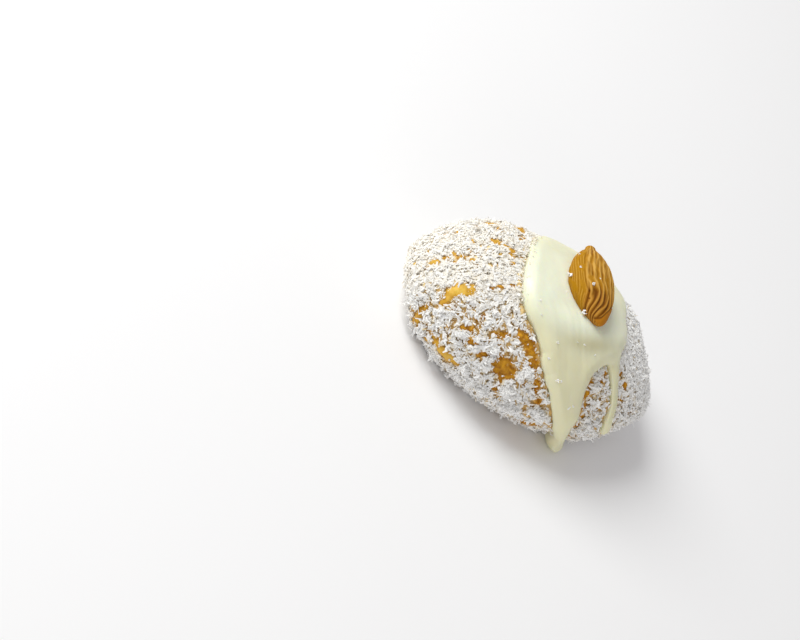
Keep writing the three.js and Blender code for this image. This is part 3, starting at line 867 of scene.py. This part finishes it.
# The coconut coat: long shreds, short chips and crumbs, each kind one joined mesh.
coat = {
    # each kind: count, size and spread of the length and of the width, thickness, tilt and roll in
    # degrees, bend, lowest and highest lift, how thinly it lies on bare places, clearance, seed
    "curls": (1400, (2.0, 0.30), (0.34, 0.22), 0.17, 16, 40, 0.60, (0.35, 0.95), 2.0, 0.2, 55),
    "shreds": (8000, (1.55, 0.36), (0.50, 0.28), 0.18, 19, 32, 0.40, (0.10, 0.85), 2.4, 0.2, 51),
    "chips": (15500, (0.98, 0.34), (0.58, 0.30), 0.20, 24, 30, 0.15, (0.05, 0.75), 2.4, 0.15, 52),
    "flecks": (15500, (0.74, 0.34), (0.42, 0.30), 0.16, 30, 40, 0.25, (0.25, 0.85), 2.0, 0.1, 56),
    "crumbs": (23500, (0.56, 0.34), (0.42, 0.30), 0.30, 35, 60, 0.0, (0.05, 0.75), 1.5, 0.05, 53),
    "dust": (46000, (0.31, 0.30), (0.28, 0.30), 0.24, 60, 90, 0.0, (0.02, 0.45), 0.8, 0.0, 54),
    "clumpiness": (0.75, 1.3),  # how unevenly the coat lies, where it is closed and where open
    "clumpNoise": [(1, 1.5, 41), (0.7, 0.8, 42)],
    "thickest": 4,
    "scatter": (0.6, 70),  # cell and half width of the grid on which flakes are strewn
    "openShare": 0.7,  # how much thinner it lies where it is open
    "clumps": 170,  # tufts that stand up from the coat
    "tuftReach": (0.9, 2.2),
    "tuftShare": 0.2,
    "tuftFavour": 2.6,  # how much fuller the chosen tufts are
    "tuftTilt": 2.0,  # how much more flakes are tilted in a tuft
    "tuftHeight": (0.66, 2.4),  # as a share of the reach, up to this reach
    "tuftFrom": 0.05,  # flakes raised more than this count as in a tuft
    "closedShares": {"lift": 0.4, "tilt": 0.35, "roll": 0.45},  # where the coat is closed
    "thickSpread": (0.7, 1.3),
    "grainSpread": (0.65, 1.3),
    "jitter": 0.05,
    "overEdge": 0.15,  # how far flakes' middles may lie over the chocolate's edge
    "ground": 0.02,  # no flake reaches lower
    "outerColour": (0.955, 0.95, 0.94, 1),
    # the inner colour on low flakes is partly their own soaked colour and partly painted warm shade among
    # the flakes
    "innerColour": (0.92, 0.74, 0.42, 1),
    "warmth": (0.16, 0.4),  # inner colour in all flakes where the coat is closed, and less in low ones
    "warmSide": (14, -16),  # from what u, and over what span, they have it
    "innerDepth": (0.38, 0.45),  # flakes lower than this are tinted, over this range
    "profiles": {"curls": (0.5, 0.9, 1.0, 0.9, 0.4), "shreds": (0.5, 1.0, 0.4),
                 "chips": (1.0, 0.7), "flecks": (0.6, 1.0)},  # width at stations along a flake
    "tuftPlaces": [(-4, -34.5, 2.2), (-5, -37.5, 1.6), (-5.5, -45, 3.2), (-21.5, -45, 2.4),
                   (-18.5, -50, 2.2), (-15, -40, 1.4), (-24.5, -31.5, 1.8), (8, -47, 3.2),
                   (-1, -52, 3.6), (-13, -51, 3.0), (-38, -47, 2.4), (-14.5, -33, 1.4)],
    "cloudTint": (0.88, 0.86, 0.83, 1),
    "cloud": (900.0, 1.6),
    "shader": {"IOR": 1.42, "Subsurface Weight": 0.12, "Subsurface Radius": (0.0008, 0.0007, 0.0006),
               "Subsurface Scale": 1.0},
    "finish": (2200.0, 6000.0, 0.5, 0.55, 0.85, 0.3, 0.00012),
}


def coconutColour(tree, place):
    colour = blendColours(tree, "tint", coat["outerColour"], coat["innerColour"])
    fibre = mottled(tree, place, coat["cloud"], (1, 1, 1, 1), coat["cloudTint"])
    return blendColours(tree, 0.5, colour, fibre, "MULTIPLY")


def onCoat(u, v):
    return (np.hypot(u, v) < rimOnChart) & (outsideChocolate(u, v)[0] > -coat["overEdge"])


# Places on the coat: random cells of a fine chart grid, each as likely as its area times how
# thickly the coat lies there, and a random place within the cell.
def scatterOnCoat(count, rng, thin):
    step, half = coat["scatter"]
    u, v = (way.ravel() for way in np.meshgrid(*2 * [np.arange(-half, half, step)], indexing="ij"))
    points = cookieSurface(u, v)
    area = np.linalg.norm(crossedSteps(cookieSurface, u, v, step / 2), axis=-1)
    bare, _ = bareAt(u, v)
    closed, loose = coat["clumpiness"]
    openness = opennessAt(u, v)
    uneven = (closed + (loose - closed) * openness) * layeredNoise(points, coat["clumpNoise"])
    thickly = np.exp(uneven) * (1 - bare) ** thin * (1 - coat["openShare"] * openness)
    weight = np.where(onCoat(u, v), area * np.minimum(thickly, coat["thickest"]), 0)
    chosen = rng.choice(len(u), size=count, p=weight / weight.sum())
    jitter = rng.uniform(-step / 2, step / 2, size=(2, count))
    return u[chosen] + jitter[0], v[chosen] + jitter[1]


# Tufts: places gathered about random and chosen centres, highest in the middle of each tuft.
def scatterInTufts(count, rng):
    u, v = scatterOnCoat(coat["clumps"], rng, 2)
    random = np.stack([u, v, rng.uniform(*coat["tuftReach"], coat["clumps"])])
    chosen = np.array(coat["tuftPlaces"], float).T
    centreU, centreV, reach = np.concatenate([random, chosen], axis=1)
    share = reach ** 2
    share[coat["clumps"]:] *= coat["tuftFavour"]
    pick = rng.choice(len(reach), size=count, p=share / share.sum())
    away = np.abs(rng.normal(0, 0.5, count))
    turn = rng.uniform(0, 2 * math.pi, count)
    u = centreU[pick] + reach[pick] * away * np.cos(turn)
    v = centreV[pick] + reach[pick] * away * np.sin(turn)
    lift = np.exp(-away ** 2 * 2) * rng.uniform(0, 1, count)
    height, widest = coat["tuftHeight"]
    return u, v, lift * np.minimum(reach[pick], widest) * height


# Three directions for each flake: along, across and through it, from the coat's outward
# direction, a random heading, a tilt out of the coat and a roll about its own length.
def flakeDirections(outward, rng, tilt, roll):
    count = len(outward)
    helper = np.where(np.abs(outward[:, 2:]) < 0.9, [[0, 0, 1.0]], [[1.0, 0, 0]])
    side = unit(np.cross(outward, helper))
    front = np.cross(outward, side)
    heading = rng.uniform(0, 2 * math.pi, count)[:, None]
    flat = side * np.cos(heading) + front * np.sin(heading)
    rise = np.radians(rng.normal(0, 1, count) * tilt)[:, None]
    along = flat * np.cos(rise) + outward * np.sin(rise)
    across = unit(np.cross(outward, along))
    through = np.cross(along, across)
    turn = np.radians(rng.normal(0, roll, count))[:, None]
    turned = across * np.cos(turn) + through * np.sin(turn)
    return along, turned, np.cross(along, turned)


def sinceClosed(label, openness):  # a share where the coat is closed, 1 where it is open
    share = coat["closedShares"][label]
    return share + (1 - share) * openness


# Centres, directions and sizes of one kind's flakes over the coat, their tint and how they bend.
def layFlakes(label):
    (count, lengths, widths, thickness, tilt, roll, bend, (lowest, highest), thin, clearance,
     seed) = coat[label]
    rng = np.random.default_rng(seed)
    tufted = int(count * coat["tuftShare"])
    u, v = scatterOnCoat(count - tufted, rng, thin)
    tuftU, tuftV, tuftLift = scatterInTufts(tufted, rng)
    u, v = np.concatenate([u, tuftU]), np.concatenate([v, tuftV])
    raised = np.append(np.zeros(count - tufted), tuftLift) * sinceClosed("lift", opennessAt(u, v))
    kept = onCoat(u, v)
    u, v, raised = u[kept], v[kept], raised[kept]
    count, openness = len(u), opennessAt(u, v)
    outward = outwardOf(cookieSurface, u, v)
    bare, _ = bareAt(u, v)
    lift = lowest + (highest - lowest) * rng.uniform(0, 1, count) * (1 - 0.5 * bare) + raised
    centre = cookieSurface(u, v) + outward * (lift - dough["coatDepth"])[:, None]
    length, width = (size * np.exp(rng.normal(0, spread, count)) for size, spread in (lengths, widths))
    thick = thickness * rng.uniform(*coat["thickSpread"], count)
    tilt = tilt * np.where(raised > coat["tuftFrom"], coat["tuftTilt"], sinceClosed("tilt", openness))
    directions = flakeDirections(outward, rng, tilt, roll * sinceClosed("roll", openness))
    reaches = [directions[k] * size[:, None] / 2 for k, size in ((0, length), (1, width))]
    ends = [centre + sign * reach for reach in reaches for sign in (1, -1)]
    clear = np.min([outsideAt(end)[0] for end in ends], axis=0) > clearance
    closed = ((1 - openness) * ramp(u, *coat["warmSide"]))[clear]
    # low flakes are tinted: partly their own soaked colour, partly painted warm shade deep in the coat
    level, span = coat["innerDepth"]
    tint = ramp((level - lift[clear]) / span, -0.5, 1) * rng.uniform(0.5, 1, len(closed))
    warmth, faded = coat["warmth"]
    tint = np.maximum(tint * (1 - faded * closed), warmth * closed * rng.uniform(0, 2, len(closed)))
    sizes = [size[clear] for size in (length, width, thick)]
    return centre[clear], [d[clear] for d in directions], sizes, tint, bend, rng


# Copies of one small solid as one piece, each copy with its own corners and tint.
def makeFlakes(name, points, solid, tint):
    count = len(points)
    points = points.reshape(count, -1, 3)
    size = points.shape[1]
    faces = (np.arange(count) * size)[:, None, None] + np.array(solid)
    points[..., 2] = np.maximum(points[..., 2], coat["ground"])
    return makePiece(name, points.reshape(-1, 3), [faces.reshape(-1, faces.shape[-1])], coconut,
                     smooth=False, values={"tint": np.repeat(tint, size)})


# Strips: stations t along each flake, four corners at each, bent by bend x length x (t^2 - 0.08).
def makeStrips(label, profile):
    centre, directions, sizes, tint, bend, rng = layFlakes(label)
    stations = len(profile)
    t = np.linspace(-0.5, 0.5, stations)[None, :, None, None]
    cornerA, cornerB = (np.array(side)[None, None, :, None] / 2 for side in ([-1, 1, 1, -1], [-1, -1, 1, 1]))
    wide = np.array(profile)[None, :, None, None]
    along, across, through = (direction[:, None, None] for direction in directions)
    length, width, thick = (size[:, None, None, None] for size in sizes)
    arch, sway = rng.normal(0, bend, (2, len(centre), 1, 1, 1)) * length * (t * t - 0.08)
    points = centre[:, None, None] + along * t * length
    points = points + across * (cornerA * wide * width + sway)
    points = points + through * (cornerB * thick + arch)
    points = points + rng.normal(0, coat["jitter"], points.shape)
    last = 4 * (stations - 1)
    sides = [[k + c, k + d, k + 4 + d, k + 4 + c]
             for k in range(0, last, 4) for c, d in ((0, 1), (1, 2), (2, 3), (3, 0))]
    ends = [[0, 3, 2, 1], [last, last + 1, last + 2, last + 3]]
    return makeFlakes("coconut" + label.capitalize(), points, sides + ends, tint)


# Grains: solid corners along the three directions of a flake, each pulled in or out a little.
def makeGrains(label, corners, solid):
    centre, directions, sizes, tint, _, rng = layFlakes(label)
    arms = np.stack(directions, axis=1) * np.stack(sizes, axis=-1)[:, :, None] / 2
    points = np.einsum("kc,ncx->nkx", np.array(corners, float), arms)
    points = centre[:, None] + points * rng.uniform(*coat["grainSpread"], (len(centre), len(corners), 1))
    return makeFlakes("coconut" + label.capitalize(), points, solid, tint)


crumbCorners = [(1, 0, 0), (-1, 0, 0), (0, 1, 0), (0, -1, 0), (0, 0, 1), (0, 0, -1)]
crumbFaces = [(0, 2, 4), (2, 1, 4), (1, 3, 4), (3, 0, 4), (2, 0, 5), (1, 2, 5), (3, 1, 5), (0, 3, 5)]
dustCorners = [(1, 1, 1), (1, -1, -1), (-1, 1, -1), (-1, -1, 1)]
dustFaces = [(0, 1, 2), (0, 2, 3), (0, 3, 1), (1, 3, 2)]
coconut = newMaterial("coconutFlesh", coat, coconutColour)
flakes = [makeStrips(label, profile) for label, profile in coat["profiles"].items()]
flakes.append(makeGrains("crumbs", crumbCorners, crumbFaces))
flakes.append(makeGrains("dust", dustCorners, dustFaces))
for piece in flakes:
    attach(piece, "root")
print("coconut laid")

# Loose crumbs on the chocolate, at a chart place, and on the almond, at a share of its length and
# degrees round it; the third number is the size.
looseCrumbs = {
    "onChocolate": [
        (-2.5, -22.5, 0.7), (4.5, -19.5, 0.6), (8.5, -20, 0.6), (-2, -27.5, 0.8), (3, -32, 1.2),
        (3.8, -31.5, 0.8), (11, -37, 0.9), (11.5, -35.5, 0.7), (1, -12, 0.5), (-4.5, -5, 0.5),
        (2.5, -20, 0.5), (-10, -13, 0.7), (-8.5, -17, 0.6),
    ],
    "alongEdge": {"tries": 1080, "count": 90, "u": (-15.5, -6), "v": (-14, 16), "outside": (-0.7, 0.7),
                  "size": (0.4, 1.0), "tint": 0.3, "seed": 63},
    "onAlmond": [(0.351, 67, 1.0), (0.549, 36, 0.8), (0.769, 26, 0.9), (0.444, 86, 0.5),
                 (0.48, 358, 1.5), (0.105, 345, 1.1)],
    "grains": 5,
    "spread": 0.21,  # how far grains lie from a crumb's middle, in sizes
    "arms": (0.2, 0.5),  # how far they reach, in sizes
    "above": 0.1,
    "seed": 61,
}


# Chart places and sizes of crumbs strewn where the chocolate's bright edge meets the coat: random
# places in a box, of which those in a band along the edge are kept.
def crumbsAlongEdge():
    band = looseCrumbs["alongEdge"]
    rng = np.random.default_rng(band["seed"])
    u, v, size = (rng.uniform(*band[key], band["tries"]) for key in ("u", "v", "size"))
    outside, _ = outsideChocolate(u, v)
    low, high = band["outside"]
    kept = np.flatnonzero((outside > low) & (outside < high))[:band["count"]]
    return np.stack([u, v, size])[:, kept]


# Each crumb is a few solids of random size and turn about its middle, which lies on the surface;
# three arms that would turn a solid inside out are turned round.
def makeLooseCrumbs():
    rng = np.random.default_rng(looseCrumbs["seed"])
    grains = looseCrumbs["grains"]
    listed = np.array(looseCrumbs["onChocolate"], float).T
    strewn = crumbsAlongEdge()
    u, v, chocolateSize = np.concatenate([listed, strewn], axis=1)
    base = cookieSurface(u, v)
    outside, thick = outsideChocolate(u, v)
    height = np.maximum(chocolateHeight(u, v, outside, thick, base), 0)
    onChocolate = base + layDirection(u, v) * (height + looseCrumbs["above"])[:, None]
    share, degrees, almondSize = np.array(looseCrumbs["onAlmond"], float).T
    onAlmond = turnedAlmond(kernelSurface(share, np.radians(degrees)))
    middle = np.repeat(np.concatenate([onChocolate, onAlmond]), grains, axis=0)
    size = np.repeat(np.append(chocolateSize, almondSize), grains)
    middle = middle + rng.normal(0, looseCrumbs["spread"], middle.shape) * size[:, None]
    arms = unit(rng.normal(size=(len(size), 3, 3))) * size[:, None, None]
    arms = arms * rng.uniform(*looseCrumbs["arms"], (len(size), 3, 1))
    arms = arms * np.sign(np.linalg.det(arms))[:, None, None]
    points = middle[:, None] + np.einsum("kc,ncx->nkx", np.array(crumbCorners, float), arms)
    counts = np.array([listed.shape[1], strewn.shape[1], len(share)])
    tint = np.repeat([0, looseCrumbs["alongEdge"]["tint"], 0], counts * grains)
    return makeFlakes("looseFlecks", points, crumbFaces, tint)


looseFlecks = makeLooseCrumbs()
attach(looseFlecks, "root")
print("loose crumbs laid")

# Floor, camera and light. The camera looks at the cookie as it lies tipped, so it is rolled.
stage = {
    "floorHalf": 1.2,
    "floorLight": (0.96, 0.95, 0.955, 1),
    "floorDark": (0.9456, 0.93575, 0.940675, 1),
    "floorCloud": (14.0, 0.8),
    "shader": {"Roughness": 0.6},
    "azimuth": -27.0,
    "elevation": 38.0,
    "roll": 48.5,
    "distance": 0.560,
    "lens": 98.0,
    "clip": (0.01, 20),
    "aimHeight": 0.01395,  # the point that the camera was placed round, above the base
    "aside": 3.63,  # degrees that the view is turned past that point, to its left
    "above": 0.00026,
    "keyFrom": (-0.68, 0.32, 0.66),
    "lightDistance": 0.9,
    "keySize": 0.6,
    "keyPower": 7.0,
    "keyColour": (0.98, 1.0, 0.985),
    "skyColour": (0.90, 0.893, 0.90),
    "skyStrength": 0.5,
    "fillFrom": (0.05, -1.0, 0.08),
    "fillSize": 0.7,
    "fillPower": 2.05,
    "fillColour": (1.0, 0.985, 0.96),
}


def floorColour(tree, place):
    return mottled(tree, place, stage["floorCloud"], stage["floorLight"], stage["floorDark"])


def makeFloor():
    half = stage["floorHalf"]
    mesh = bpy.data.meshes.new("floor")
    mesh.from_pydata([(-half, -half, 0), (half, -half, 0), (half, half, 0), (-half, half, 0)], [],
                     [(0, 1, 2, 3)])
    floor = newObject("floor", mesh)
    mesh.materials.append(newMaterial("paleFloor", stage, floorColour))


# Camera axes: back points from the cookie to the camera, and right and up are turned by the roll.
# From there the camera is turned about its up axis, so that the cookie stands right of the middle.
def makeCamera():
    a, e, r = (math.radians(stage[k]) for k in ("azimuth", "elevation", "roll"))
    back = Vector((math.sin(a) * math.cos(e), -math.cos(a) * math.cos(e), math.sin(e)))
    level = Vector((math.cos(a), math.sin(a), 0))
    lift = back.cross(level)
    right = level * math.cos(r) + lift * math.sin(r)
    up = lift * math.cos(r) - level * math.sin(r)
    target = Vector((*toFrame(np.zeros(3))[:2], stage["aimHeight"]))
    place = target + back * stage["distance"] + up * stage["above"]
    past = math.radians(stage["aside"])
    back, right = (back * math.cos(past) + right * math.sin(past),
                   right * math.cos(past) - back * math.sin(past))
    data = bpy.data.cameras.new("camera")
    data.lens = stage["lens"]
    data.clip_start, data.clip_end = stage["clip"]
    camera = newObject("camera", data)
    turn = Matrix((right, up, back)).transposed().to_4x4()
    camera.matrix_world = Matrix.Translation(place) @ turn
    bpy.context.scene.camera = camera


def makeLight(name, direction, size, power, colour):
    data = bpy.data.lights.new(name, "AREA")
    data.shape = "DISK"
    data.size, data.energy, data.color = size, power, colour
    light = newObject(name, data)
    towards = Vector(direction).normalized()
    light.location = towards * stage["lightDistance"]
    light.rotation_euler = towards.to_track_quat("Z", "Y").to_euler()


def makeSky():
    world = bpy.data.worlds.new("studio")
    world.use_nodes = True
    background = world.node_tree.nodes["Background"]
    background.inputs["Color"].default_value = (*stage["skyColour"], 1)
    background.inputs["Strength"].default_value = stage["skyStrength"]
    bpy.context.scene.world = world


makeFloor()
makeCamera()
for label in ("key", "fill"):
    makeLight(label + "Light", *(stage[label + part] for part in ("From", "Size", "Power", "Colour")))
makeSky()
bpy.context.scene.view_settings.view_transform = "Standard"
print("stage set")
